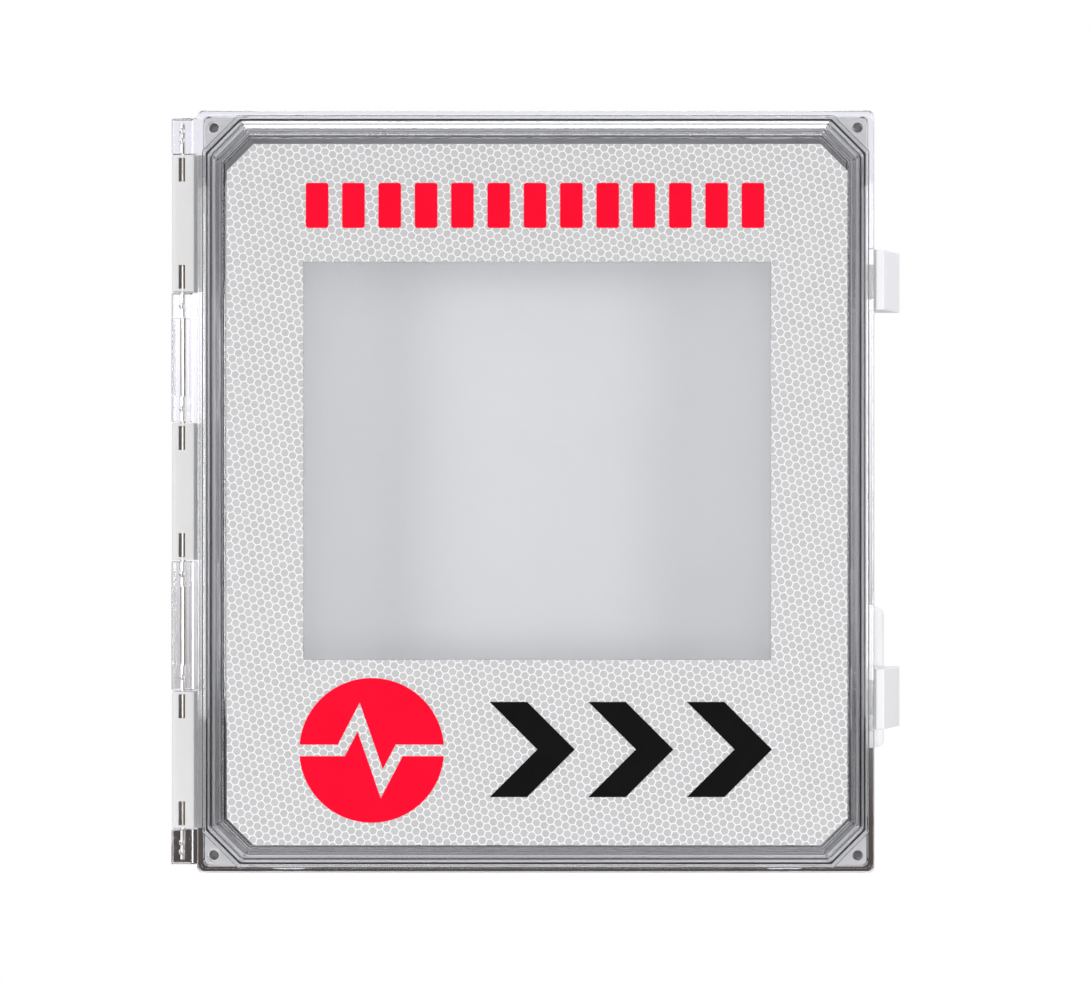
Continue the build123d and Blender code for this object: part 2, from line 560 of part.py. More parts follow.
def foot_screw(side, high):
    x, z = side * WALL_HOLE_X, high * FOOT_SCREW_Z
    end_y = BACK_Y - INSERT_LENGTH + 1
    body = slab(Circle(SCREW_RADIUS), -FOOT_HEAD_SINK, end_y, x, z) + countersink(x, z, 0)
    return body - slab(RegularPolygon(1.8, 6), -FOOT_HEAD_SINK, -FOOT_HEAD_SINK - 1.8, x, z)


# ---- film and marks ------------------------------------------------------------------------------------
def reflective_film():
    sheet = Pos(*FILM_CENTRE) * chamfer(Rectangle(*FILM_SIZE).vertices(), FILM_CUT)
    sheet -= Pos(*WINDOW_CENTRE) * Rectangle(*WINDOW_SIZE)
    return slab(sheet, COVER_FRONT_Y, COVER_FRONT_Y - FILM_THICKNESS)


def mark(sketch):
    return slab(sketch, COVER_FRONT_Y - FILM_THICKNESS, COVER_FRONT_Y - FILM_THICKNESS - MARK_THICKNESS)


def red_blocks():
    width, height = BLOCK_ROW
    pitch = width / (BLOCK_COUNT - 1 + BLOCK_FILL)
    block = pitch * BLOCK_FILL
    first = BLOCK_ROW_PLACE[0] - width / 2 + block / 2
    return [mark(Pos(first + i * pitch, WINDOW_HIGH + BLOCK_ROW_PLACE[1]) * RectangleRounded(block, height, 1.5))
            for i in range(BLOCK_COUNT)]


def round_mark():
    """Disc with a heartbeat line cut right across it, which leaves two pieces."""
    r = ROUND_MARK_RADIUS
    line = Polyline((-1.2 * r, 0), (-0.42 * r, 0), (-0.18 * r, 0.46 * r), (0.14 * r, -0.46 * r),
                    (0.38 * r, 0), (1.2 * r, 0))
    band = offset(line, PULSE_WIDTH / 2, kind=Kind.INTERSECTION, side=Side.BOTH)
    disc = Circle(r) - make_face(band.edges())
    return mark(Pos(ROUND_MARK_PLACE[0], WINDOW_LOW - ROUND_MARK_PLACE[1]) * disc)


def black_chevrons():
    width, height = CHEVRON_ROW
    half = height / 2
    point = half                                  # a chevron's tip stands out by half its height
    pitch = (width - point - CHEVRON_STROKE) / (CHEVRON_COUNT - 1)
    made = []
    for i in range(CHEVRON_COUNT):
        x = CHEVRON_PLACE[0] - width / 2 + i * pitch
        z = WINDOW_LOW - CHEVRON_PLACE[1]
        shape = Polyline((x, z + half), (x + CHEVRON_STROKE, z + half), (x + CHEVRON_STROKE + point, z),
                         (x + CHEVRON_STROKE, z - half), (x, z - half), (x + point, z), close=True)
        made.append(mark(make_face(shape)))
    return made


# ---- alarm ---------------------------------------------------------------------------------------------
def alarm_screw_places():
    return [(ALARM_MIDDLE_Y, ALARM_CENTRE_Z + half) for half in (-ALARM_BOSS_SPACING / 2, ALARM_BOSS_SPACING / 2)]


def rightwards(sketch, x_low, x_high, y, z):
    return extrude(sideways(x_low, y, z) * sketch, x_high - x_low)


def alarm_housing():
    outer_x = WALL_X + ALARM_REACH
    body = rightwards(Rectangle(ALARM_LENGTH, ALARM_HEIGHT), WALL_X, outer_x, ALARM_MIDDLE_Y, ALARM_CENTRE_Z)
    body = fillet([e for e in body.edges() if e.center().X > WALL_X + 0.1], ALARM_EDGE_RADIUS)
    body -= rightwards(Rectangle(ALARM_LENGTH - 2 * ALARM_WALL, ALARM_HEIGHT - 2 * ALARM_WALL),
                       WALL_X, outer_x - ALARM_WALL, ALARM_MIDDLE_Y, ALARM_CENTRE_Z)
    for y, z in alarm_screw_places():
        body += rightwards(Circle(ALARM_BOSS_RADIUS), WALL_X, outer_x - ALARM_WALL, y, z)
        body -= rightwards(Circle(ALARM_SCREW_RADIUS), WALL_X, outer_x - 2 * ALARM_WALL, y, z)
    y, z = sounder_place()
    ring = [(0, 0)] + [(SOUND_HOLE_RING * math.cos(a), SOUND_HOLE_RING * math.sin(a))
                       for a in (math.radians(60 * i) for i in range(6))]
    for dy, dz in ring:
        body -= rightwards(Circle(SOUND_HOLE_RADIUS), outer_x - ALARM_WALL, outer_x, y + dy, z + dz)
    return body


def sounder_place():
    back_y = ALARM_FRONT_Y + ALARM_LENGTH - ALARM_WALL - 1
    return back_y - BOARD_SIZE[0] / 2, ALARM_CENTRE_Z


def alarm_plate():
    gap = ALARM_WALL + ALARM_PLATE_GAP
    body = rightwards(Rectangle(ALARM_LENGTH - 2 * gap, ALARM_HEIGHT - 2 * gap), WALL_X,
                      WALL_X + ALARM_PLATE_THICKNESS, ALARM_MIDDLE_Y, ALARM_CENTRE_Z)
    for y, z in alarm_screw_places():
        body -= rightwards(Circle(ALARM_BOSS_RADIUS + ALARM_PLATE_GAP), WALL_X,
                           WALL_X + ALARM_PLATE_THICKNESS, y, z)
    return body


def alarm_board():
    y, z = sounder_place()
    x = WALL_X + ALARM_PLATE_THICKNESS
    return rightwards(Rectangle(*BOARD_SIZE), x, x + BOARD_THICKNESS, y, z)


def alarm_sounder():
    y, z = sounder_place()
    x = WALL_X + ALARM_PLATE_THICKNESS + BOARD_THICKNESS
    body = rightwards(Circle(SOUNDER_RADIUS), x, x + SOUNDER_HEIGHT, y, z)
    return body - rightwards(Circle(1.5), x + SOUNDER_HEIGHT - 2, x + SOUNDER_HEIGHT, y, z)


def alarm_cells():
    x = WALL_X + ALARM_PLATE_THICKNESS + CELL_RADIUS + 0.4
    first = ALARM_FRONT_Y + ALARM_WALL + CELL_RADIUS + 1.0
    low = ALARM_CENTRE_Z - CELL_LENGTH / 2
    return [column(Circle(CELL_RADIUS), low, low + CELL_LENGTH, x, first + i * (2 * CELL_RADIUS + 0.5))
            for i in range(2)]


def alarm_screw(y, z):
    inner_x = WALL_X - BASE_WALL
    body = rightwards(Circle(ALARM_SCREW_RADIUS), inner_x, WALL_X + ALARM_REACH - 3 * ALARM_WALL, y, z)
    head = rightwards(Circle(ALARM_HEAD_RADIUS), inner_x - ALARM_HEAD_HEIGHT, inner_x, y, z)
    return body + head


def reed_switch():
    width, depth, height = SWITCH_SIZE
    x = WALL_X - BASE_WALL - width / 2
    y = RIM_Y + SWITCH_SETBACK + depth / 2
    body = Pos(x, y, SWITCH_HEIGHT) * Box(width, depth, height)
    return fillet([e for e in body.edges() if e.center().X < x], 1.5)


def door_magnet():
    width, height = MAGNET_SIZE
    x = WALL_X - BASE_WALL - SWITCH_SIZE[0] - MAGNET_GAP / 2 - width / 2
    return slab(RectangleRounded(width, height, 1.5), RIM_Y + 1, COVER_INSIDE_Y, x, SWITCH_HEIGHT)


# ---- write every node ----------------------------------------------------------------------------------
def nodes():
    made = {
        "base_shell": base_shell(),
        "cover_shell": cover_shell(),
        "hinge_pin": hinge_pin(),
        "gasket": gasket_ring(GASKET_THICKNESS),
        "back_panel": back_panel(),
        "panel_inserts": [insert(x, z, PANEL_BACK_Y, PANEL_BACK_Y + INSERT_LENGTH)
                          for x, z in corner_places(*PANEL_SCREWS)],
        "panel_screws": [panel_screw(x, z) for x, z in corner_places(*PANEL_SCREWS)],
        "panel_washers": [panel_washer(x, z) for x, z in corner_places(*PANEL_SCREWS)],
        "foot_inserts": [insert(x, z, BACK_Y, BACK_Y - INSERT_LENGTH)
                         for x, z in corner_places(WALL_HOLE_X, FOOT_SCREW_Z)],
        "foot_screws": [foot_screw(side, high) for side, high in CORNERS],
        "reflective_film": reflective_film(),
        "red_blocks": red_blocks(),
        "round_mark": round_mark(),
        "black_chevrons": black_chevrons(),
        "alarm_housing": alarm_housing(),
        "alarm_plate": alarm_plate(),
        "alarm_board": alarm_board(),
        "alarm_sounder": alarm_sounder(),
        "alarm_cells": alarm_cells(),
        "alarm_screws": [alarm_screw(y, z) for y, z in alarm_screw_places()],
        "reed_switch": reed_switch(),
        "door_magnet": door_magnet(),
    }
    names = {(-1, 1): "top_left", (1, 1): "top_right", (-1, -1): "bottom_left", (1, -1): "bottom_right"}
    for side, high in CORNERS:
        made[f"foot_{names[side, high]}"] = foot(side, high)
    for place, z in LATCH_HEIGHTS.items():
        made[f"latch_{place}"] = latch(z)
        made[f"latch_pin_{place}"] = latch_pin(z)
    return made


def main():
    os.makedirs("parts", exist_ok=True)
    for name, shape in nodes().items():
        pieces = shape if isinstance(shape, list) else [shape]
        solids = [solid for piece in pieces for solid in piece.solids()]
        export_step(solids[0] if len(solids) == 1 else Compound(children=solids), f"parts/{name}.step")
        print(f"{name}: {len(solids)} solid(s), {sum(solid.volume for solid in solids) / 1000:.1f} cm3")


main()
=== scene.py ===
# %% [markdown]
# # A wall cabinet with a clear cover
# The object is a weatherproof box that a defibrillator is kept in. Its shape comes from a fixed CAD
# frame: this script loads it, gives every part its finish, adds the pieces that are better made in
# Blender, and sets up a small photo studio. Everything is in metres, +Z is up and the cover faces -Y.

# %% Load the frame
import json
import math

import bpy
import numpy as np
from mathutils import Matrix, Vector


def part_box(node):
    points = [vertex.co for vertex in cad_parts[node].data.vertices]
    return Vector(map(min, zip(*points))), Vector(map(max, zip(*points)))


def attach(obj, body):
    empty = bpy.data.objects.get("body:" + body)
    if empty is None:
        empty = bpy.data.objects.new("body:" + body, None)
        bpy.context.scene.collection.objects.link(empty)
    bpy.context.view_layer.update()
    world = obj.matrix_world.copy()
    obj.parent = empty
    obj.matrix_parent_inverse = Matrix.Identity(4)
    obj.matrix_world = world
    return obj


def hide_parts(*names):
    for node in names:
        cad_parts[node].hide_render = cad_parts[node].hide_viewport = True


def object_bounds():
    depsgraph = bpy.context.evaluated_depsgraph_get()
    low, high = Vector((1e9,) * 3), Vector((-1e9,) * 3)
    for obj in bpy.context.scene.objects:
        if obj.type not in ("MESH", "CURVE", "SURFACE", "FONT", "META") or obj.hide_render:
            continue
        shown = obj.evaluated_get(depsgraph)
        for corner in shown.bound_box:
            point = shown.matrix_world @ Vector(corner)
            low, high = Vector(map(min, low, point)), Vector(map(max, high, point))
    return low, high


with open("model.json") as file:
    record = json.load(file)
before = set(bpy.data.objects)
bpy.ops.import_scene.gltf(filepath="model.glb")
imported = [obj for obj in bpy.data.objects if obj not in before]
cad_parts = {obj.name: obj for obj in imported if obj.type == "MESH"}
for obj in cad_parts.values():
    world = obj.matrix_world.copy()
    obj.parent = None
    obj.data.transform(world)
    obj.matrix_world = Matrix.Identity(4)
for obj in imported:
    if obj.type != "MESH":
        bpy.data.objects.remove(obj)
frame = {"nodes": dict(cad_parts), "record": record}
nodes = frame["nodes"]
cad_low, cad_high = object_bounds()
film_low, film_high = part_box("reflective_film")
gasket_low, gasket_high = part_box("gasket")
print("CAD box", [round(v, 4) for v in cad_low], [round(v, 4) for v in cad_high])

# %% [markdown]
# ## The studio
# The cabinet is looked at square-on from two metres, far enough off that the sides of the box stay hidden
# behind its cover. The camera is level with the cover's middle, and its long lens is worked out from the
# width that it should take in at the cover's flange.

# %% Camera
MM = 0.001
CAMERA_DISTANCE = 2.0
PICTURE_WIDTH = 618.8 * MM          # width of the view at the cover's flange
AIM_SIDE = 5.3 * MM                 # the view's middle, right of the cabinet's middle
AIM_UP = 0.3 * MM
FLANGE_Y = gasket_low.y - 2.0 * MM

camera_data = bpy.data.cameras.new("studio_camera")
camera_data.sensor_width = 36.0
camera_data.lens = camera_data.sensor_width * CAMERA_DISTANCE / PICTURE_WIDTH
camera = bpy.data.objects.new("studio_camera", camera_data)
bpy.context.scene.collection.objects.link(camera)
camera.location = (AIM_SIDE, FLANGE_Y - CAMERA_DISTANCE, AIM_UP)
camera.rotation_euler = (math.pi / 2, 0, 0)
bpy.context.scene.camera = camera
bpy.context.scene.view_settings.view_transform = "Standard"
print("lens", round(camera_data.lens, 1), "mm")

# %% [markdown]
# ## Helpers for node trees
# The room and every finish are small trees of nodes. A few helpers keep them as short as sums on paper:
# each makes one node, links or sets its inputs and hands back the socket that the next one needs.


# %% Node helpers
def add(tree, kind, **inputs):
    """One node, with the values or links of its named inputs."""
    node = tree.nodes.new(kind)
    for name, value in inputs.items():
        socket = node.inputs[int(name[1:])] if name[0] == "i" and name[1:].isdigit() else node.inputs[name]
        if isinstance(value, bpy.types.NodeSocket):
            tree.links.new(value, socket)
        else:
            socket.default_value = value
    return node


def maths(tree, operation, *values, clamp=False):
    """Result of one arithmetic node."""
    node = add(tree, "ShaderNodeMath", **{f"i{n}": v for n, v in enumerate(values)})
    node.operation = operation
    node.use_clamp = clamp
    return node.outputs[0]


def ramp(tree, value, stops):
    """Colour ramp through (position, colour) stops."""
    node = add(tree, "ShaderNodeValToRGB", Fac=value)
    elements = node.color_ramp.elements
    while len(elements) < len(stops):
        elements.new(0.5)
    for element, (position, colour) in zip(elements, stops):
        element.position = position
        element.color = (*colour, 1.0)
    return node.outputs["Color"]


def blend(tree, how, one, two, amount=1.0):
    """Two colours put together, as layers are."""
    node = add(tree, "ShaderNodeMix", i0=amount)
    node.data_type = "RGBA"
    node.blend_type = how
    for socket, colour in ((node.inputs[6], one), (node.inputs[7], two)):
        if isinstance(colour, bpy.types.NodeSocket):
            tree.links.new(colour, socket)
        else:
            socket.default_value = (*colour, 1.0)
    return node.outputs[2]


print("node helpers ready")

# %% [markdown]
# ## Light
# Clear plastic has no colour of its own. What shows its shape is what it bends and mirrors, so the room
# round it matters as much as the lamps. The room is a sky without a picture: plain white where the camera
# looks past the cabinet, bright overhead, dim and warm just below the horizon to give the lower bevels an
# edge, and lighter again towards the floor. Three ramps, by height, side and depth, are multiplied.


# %% The room
def make_room():
    """The room by direction: each wall has its own tone, and the camera itself sees plain white."""
    world = bpy.data.worlds.new("studio_room")
    world.use_nodes = True
    tree = world.node_tree
    tree.nodes.clear()
    direction = add(tree, "ShaderNodeTexCoord").outputs["Generated"]
    axes = add(tree, "ShaderNodeSeparateXYZ", Vector=direction)
    height = maths(tree, "MULTIPLY_ADD", axes.outputs["Z"], 0.5, 0.5)
    across = maths(tree, "MULTIPLY_ADD", axes.outputs["X"], 0.5, 0.5)
    depth = maths(tree, "MULTIPLY_ADD", axes.outputs["Y"], 0.5, 0.5)
    by_height = ramp(tree, height, [(0.05, (0.66, 0.65, 0.645)), (0.37, (0.56, 0.55, 0.54)),
                                    (0.425, (0.07, 0.055, 0.046)),
                                    (0.455, (0.10, 0.088, 0.080)), (0.49, (0.48, 0.47, 0.48)),
                                    (0.53, (0.94, 0.94, 0.98)), (0.80, (1.0, 1.0, 1.0))])
    by_side = ramp(tree, across, [(0.10, (0.80, 0.80, 0.84)), (0.445, (0.98, 0.97, 1.0)),
                                  (0.50, (0.98, 0.98, 0.99)), (0.555, (0.98, 0.97, 1.0)),
                                  (0.95, (0.58, 0.57, 0.61))])
    by_depth = ramp(tree, depth, [(0.05, (0.16, 0.16, 0.17)), (0.42, (0.80, 0.80, 0.84)),
                                  (0.65, (1.0, 1.0, 1.0))])
    tone = blend(tree, "MULTIPLY", blend(tree, "MULTIPLY", by_height, by_side), by_depth)
    seen = add(tree, "ShaderNodeLightPath").outputs["Is Camera Ray"]
    room = add(tree, "ShaderNodeBackground", Color=tone, Strength=1.0)
    white = add(tree, "ShaderNodeBackground", Color=(1, 1, 1, 1), Strength=1.0)
    mixed = add(tree, "ShaderNodeMixShader", i0=seen, i1=room.outputs[0], i2=white.outputs[0])
    add(tree, "ShaderNodeOutputWorld", Surface=mixed.outputs[0])
    bpy.context.scene.world = world


make_room()
print("room", bpy.context.scene.world.name)

# %% [markdown]
# ### Lamps
# A box that is lit from the front only looks flat, and a small bright lamp near the camera shows as a
# white patch in the flat window. So the lamps stand round it: one above, one at each side, and one at each
# side of the camera, out of the window's reach. The wide one behind the camera fills the inside of the
# box, and is dim enough for the window to mirror it as a faint sheen only.


# %% Lamps
def soft_lamp(name, place, aim, size, watts):
    """A rectangular lamp of size (wide, tall) in metres at place, turned so that it faces aim."""
    lamp = bpy.data.lights.new(name, "AREA")
    lamp.shape = "RECTANGLE"
    lamp.size, lamp.size_y = size
    lamp.energy = watts
    item = bpy.data.objects.new(name, lamp)
    bpy.context.scene.collection.objects.link(item)
    item.location = place
    item.rotation_euler = (Vector(aim) - Vector(place)).to_track_quat("-Z", "Y").to_euler()
    return item


soft_lamp("lamp_above", (0.0, -0.05, 1.4), (0, -0.1, 0), (1.0, 0.5), 9.5)
soft_lamp("lamp_left", (-1.6, -1.1, 0.2), (0, -0.15, 0), (0.7, 1.6), 10)
soft_lamp("lamp_right", (1.6, -1.1, 0.2), (0, -0.15, 0), (0.5, 1.6), 11.5)
soft_lamp("lamp_front_left", (-1.0, -2.4, 0.0), (0, -0.1, 0), (0.5, 0.5), 10)
soft_lamp("lamp_front_right", (1.0, -2.4, 0.0), (0, -0.1, 0), (0.5, 0.5), 9)
soft_lamp("lamp_fill", (0.0, -2.8, 0.05), (0, -0.1, 0.0), (2.6, 0.7), 17)

# %% [markdown]
# ### Floor
# The cabinet hangs on a wall at chest height, so the pale studio floor lies well below it.

# %% Floor
FLOOR_DROP = 0.75                   # metres below the feet
floor_mesh = bpy.data.meshes.new("studio_floor")
floor_z = cad_low.z - FLOOR_DROP
FLOOR_SIDE, FLOOR_FRONT, FLOOR_BACK = 1.4, -1.5, 1.2
floor_corners = [(-FLOOR_SIDE, FLOOR_FRONT, floor_z), (FLOOR_SIDE, FLOOR_FRONT, floor_z),
                 (FLOOR_SIDE, FLOOR_BACK, floor_z), (-FLOOR_SIDE, FLOOR_BACK, floor_z)]
floor_mesh.from_pydata(floor_corners, [], [(0, 1, 2, 3)])
floor = bpy.data.objects.new("studio_floor", floor_mesh)
bpy.context.scene.collection.objects.link(floor)
print("floor at", round(floor_z, 3), "m")

# %% [markdown]
# ## Finishes
# Every finish is a small node tree in metres on the object itself, so a grain or a pattern keeps its real
# size on a large shell and on a small screw. Most have three things that a real surface has: a colour that
# wanders a little, a gloss that isn't quite even, and a relief that catches the light.


# %% Material helpers
def new_material(name):
    """An empty material with one Principled shader: (material, its tree, the shader, the output)."""
    material = bpy.data.materials.new(name)
    material.use_nodes = True
    tree = material.node_tree
    tree.nodes.clear()
    surface = add(tree, "ShaderNodeBsdfPrincipled")
    out = add(tree, "ShaderNodeOutputMaterial", Surface=surface.outputs[0])
    return material, tree, surface, out


def local(tree, scale=(1, 1, 1), turn=(0, 0, 0), shift=(0, 0, 0)):
    """Place on the object, in metres, turned and scaled."""
    place = add(tree, "ShaderNodeTexCoord").outputs["Object"]
    mapping = add(tree, "ShaderNodeMapping", Vector=place, Location=shift, Rotation=turn, Scale=scale)
    return mapping.outputs[0]


def noise(tree, scale, detail=3.0, place=None, roughness=0.5):
    """Cloudy noise from 0 to 1. The scale is in bumps per metre."""
    place = place if place is not None else local(tree)
    return add(tree, "ShaderNodeTexNoise", Vector=place, Scale=scale, Detail=detail,
               Roughness=roughness).outputs["Fac"]


def between(tree, value, low, high):
    """Stretches a 0 to 1 value between two numbers."""
    return add(tree, "ShaderNodeMapRange", Value=value, i3=low, i4=high).outputs[0]


def set_bump(tree, surface, height, distance, strength=1.0):
    """Relief: height from 0 to 1 stands for distance in metres."""
    bump = add(tree, "ShaderNodeBump", Height=height, Distance=distance, Strength=strength)
    tree.links.new(bump.outputs[0], surface.inputs["Normal"])


def tint(tree, value, low, high):
    """Mixes two colours by a 0 to 1 value."""
    return blend(tree, "MIX", low, high, value)


print("material helpers ready")

# %% [markdown]
# ### Moulded plastic
# The base, feet, latches and alarm box come out of steel moulds that are eroded to a fine grain. The
# plastic flows in from one point, which leaves clouds of slightly different tone. One function makes
# all of them, with the colour, gloss and depth of grain as its inputs.


# %% Moulded plastic
def moulded(name, low, high, rough=0.45, grain=0.00006):
    """Opaque moulded plastic: fine spark-eroded grain, faint flow marks and slightly uneven gloss."""
    material, tree, surface, out = new_material(name)
    flow = noise(tree, 9.0, 4.0)
    tree.links.new(tint(tree, flow, low, high), surface.inputs["Base Color"])
    gloss = between(tree, noise(tree, 60.0), rough - 0.06, rough + 0.08)
    tree.links.new(gloss, surface.inputs["Roughness"])
    set_bump(tree, surface, noise(tree, 2600.0, 2.0), grain)
    return material


# %% [markdown]
# ### Clear polycarbonate
# The cover is clear and bends light strongly. A path tracer finds it hard to send light through two
# bent surfaces to a lamp, so the inside of the box would stay dark and grainy. The usual way round is
# used here: rays that look for a lamp, and rays that carry soft light, pass a thin clear veil instead.


# %% Clear cover
def clear_plastic():
    """Clear polycarbonate for what is seen, and a clear veil for shadow and diffuse rays."""
    material, tree, surface, out = new_material("clear_polycarbonate")
    surface.inputs["Base Color"].default_value = (0.95, 0.953, 0.97, 1)
    surface.inputs["Transmission Weight"].default_value = 1.0
    surface.inputs["IOR"].default_value = 1.58
    surface.inputs["Roughness"].default_value = 0.03
    set_bump(tree, surface, noise(tree, 70.0, 2.0), 0.00004)
    rays = add(tree, "ShaderNodeLightPath")
    passing = maths(tree, "MAXIMUM", rays.outputs["Is Shadow Ray"], rays.outputs["Is Diffuse Ray"])
    veil = add(tree, "ShaderNodeBsdfTransparent", Color=(0.88, 0.885, 0.895, 1))
    mixed = add(tree, "ShaderNodeMixShader", i0=passing, i1=surface.outputs[0], i2=veil.outputs[0])
    tree.links.new(mixed.outputs[0], out.inputs["Surface"])
    return material


# %% [markdown]
# ### Metals and sheet
# The hinge pin, screws and cells are drawn or rolled, so their streaks run along Z. Brass inserts are
# turned, so theirs run round. The back panel is satin sheet: hardly metallic to the eye, with a fine
# upright grain. Squeezing noise along one axis is all that makes a streak.


# %% Metals and sheet
def steel():
    """Drawn stainless steel: noise stretched fifty times along Z for colour, gloss and relief."""
    material, tree, surface, out = new_material("drawn_stainless")
    surface.inputs["Metallic"].default_value = 1.0
    drawn = local(tree, scale=(1, 1, 0.02))
    streaks = noise(tree, 2500.0, 2.0, drawn)
    colour = tint(tree, streaks, (0.42, 0.38, 0.34), (0.66, 0.63, 0.60))
    tree.links.new(colour, surface.inputs["Base Color"])
    tree.links.new(between(tree, streaks, 0.22, 0.36), surface.inputs["Roughness"])
    set_bump(tree, surface, streaks, 0.00002)
    return material


def turned_brass():
    """Turned brass: noise squeezed along Y, which is the axis of the inserts."""
    material, tree, surface, out = new_material("turned_brass")
    surface.inputs["Metallic"].default_value = 1.0
    rings = noise(tree, 1500.0, 2.0, local(tree, scale=(0.1, 1, 0.1)))
    tree.links.new(tint(tree, rings, (0.62, 0.44, 0.16), (0.80, 0.62, 0.28)), surface.inputs["Base Color"])
    tree.links.new(between(tree, rings, 0.25, 0.4), surface.inputs["Roughness"])
    set_bump(tree, surface, rings, 0.00003)
    return material


def satin_sheet():
    """Satin sheet: fine upright grain under a soft, slightly uneven bloom."""
    material, tree, surface, out = new_material("satin_panel")
    surface.inputs["Metallic"].default_value = 0.15
    grain = noise(tree, 900.0, 3.0, local(tree, scale=(1, 1, 0.03)))
    tree.links.new(tint(tree, noise(tree, 7.0), (0.55, 0.555, 0.565), (0.585, 0.59, 0.60)),
                   surface.inputs["Base Color"])
    tree.links.new(between(tree, grain, 0.42, 0.52), surface.inputs["Roughness"])
    set_bump(tree, surface, grain, 0.00002, 0.5)
    return material


# %% [markdown]
# ### Gasket foam
# The gasket is poured into the cover as a liquid and foams there. Its skin is matt with small round pores,
# and their hollows carry painted shade.


# %% Foam
def foam():
    """Poured foam: the distance to the nearest of many scattered points makes round pores, sunk by the bump
    and coloured darker at their bottoms as painted shade.
    """
    material, tree, surface, out = new_material("poured_foam")
    pore_depth_and_shade = add(tree, "ShaderNodeTexVoronoi", Vector=local(tree), Scale=1400.0).outputs["Distance"]
    # painted shade: the foam's colour is darkest at the bottom of each pore, where the bump sinks it
    tree.links.new(tint(tree, pore_depth_and_shade, (0.03, 0.03, 0.035), (0.09, 0.09, 0.10)), surface.inputs["Base Color"])
    surface.inputs["Roughness"].default_value = 0.85
    set_bump(tree, surface, pore_depth_and_shade, 0.0003)
    return material


# %% [markdown]
# ### Honeycomb reflective film
# Encapsulated-lens sheeting is welded to its backing along a honeycomb of thin lines. The lines show
# white and flat, and the cells between them are greyer because they send light back only towards its
# source. An image of the pattern would be simple, but it would blur close up. Arithmetic on the place
# on the sheet gives the same honeycomb at any distance.


# %% Honeycomb
CELL_PITCH = 4.58 * MM
CELL_TURN = math.radians(-20)       # how far the lattice is turned in its own plane
SEAL_WIDTH = 0.125                  # welded line, as a share of the pitch


def hexagon_cells(tree, pitch, turn):
    """Distance from a cell's middle (0.5 at its edge) and a random number for each cell.

    A hexagon lattice is two rectangular lattices of 1 by root 3, half a step apart. The nearer of the two
    lattice points is the middle of the cell, and the distance to the edge is the largest of three
    projections.
    """
    place = local(tree, scale=(1 / pitch,) * 3, turn=(0, turn, 0))
    axes = add(tree, "ShaderNodeSeparateXYZ", Vector=place)
    flat = add(tree, "ShaderNodeCombineXYZ", X=axes.outputs["X"], Y=axes.outputs["Z"]).outputs[0]
    step = (1.0, math.sqrt(3.0))
    half = (step[0] / 2, step[1] / 2, 0.0)

    def vector(operation, *values):
        node = add(tree, "ShaderNodeVectorMath", **{f"i{n}": v for n, v in enumerate(values)})
        node.operation = operation
        return node

    def wrapped(v):
        top = (step[0] / 2, step[1] / 2, 1.0)
        bottom = (-step[0] / 2, -step[1] / 2, -1.0)
        return vector("WRAP", v, top, bottom).outputs[0]

    one = wrapped(flat)
    two = wrapped(vector("SUBTRACT", flat, half).outputs[0])
    length_one = vector("LENGTH", one).outputs["Value"]
    length_two = vector("LENGTH", two).outputs["Value"]
    nearer = maths(tree, "LESS_THAN", length_two, length_one)
    pick = add(tree, "ShaderNodeMix", i0=nearer)
    pick.data_type = "VECTOR"
    tree.links.new(one, pick.inputs[4])
    tree.links.new(two, pick.inputs[5])
    offset = pick.outputs[1]
    middle = vector("SUBTRACT", flat, offset).outputs[0]
    size = vector("ABSOLUTE", offset).outputs[0]
    parts = add(tree, "ShaderNodeSeparateXYZ", Vector=size)
    slanted = maths(tree, "MULTIPLY_ADD", parts.outputs["Y"], math.sqrt(3) / 2,
                    maths(tree, "MULTIPLY", parts.outputs["X"], 0.5))
    six = maths(tree, "MAXIMUM", parts.outputs["X"], slanted)
    rounded = maths(tree, "MULTIPLY_ADD", vector("LENGTH", offset).outputs["Value"], 0.25,
                    maths(tree, "MULTIPLY", six, 0.75))
    nudged = vector("ADD", middle, (0.1, 0.1, 0.1)).outputs[0]
    snapped = vector("SNAP", nudged, (0.25, 0.25, 0.25)).outputs[0]
    chance = add(tree, "ShaderNodeTexWhiteNoise", Vector=snapped).outputs["Value"]
    return rounded, chance


# %% Film finish
def film():
    """White welded lines round grey cells. Each cell has a tone of its own, under clouds and glass beads."""
    material, tree, surface, out = new_material("honeycomb_film")
    distance, chance = hexagon_cells(tree, CELL_PITCH, CELL_TURN)
    edge = 0.5 - SEAL_WIDTH / 2
    seal = add(tree, "ShaderNodeMapRange", Value=distance, i1=edge - 0.03, i2=edge + 0.03)
    seal.interpolation_type = "SMOOTHSTEP"
    seal = seal.outputs[0]
    glass_beads = noise(tree, 5200.0, 2.0)
    smudge = noise(tree, 420.0, 3.0)
    shade = maths(tree, "ADD", maths(tree, "MULTIPLY", chance, 0.35), maths(tree, "MULTIPLY", smudge, 0.9))
    darkness = maths(tree, "SUBTRACT", shade, 0.25, clamp=True)
    cell = tint(tree, darkness, (0.435, 0.435, 0.433), (0.575, 0.575, 0.573))
    cell = tint(tree, maths(tree, "MULTIPLY", glass_beads, 0.5), cell, (0.52, 0.52, 0.518))
    tree.links.new(tint(tree, seal, cell, (0.84, 0.84, 0.836)), surface.inputs["Base Color"])
    tree.links.new(between(tree, seal, 0.42, 0.60), surface.inputs["Roughness"])
    set_bump(tree, surface, seal, 0.00012, 0.6)
    return material


# %% [markdown]
# ### Vinyl marks
# The marks are cut from thin coloured vinyl and pressed on the film, so the honeycomb's welded lines
# lift them by a hair. The same lattice is read again for that relief. The vinyl is matt, with almost no
# mirror.


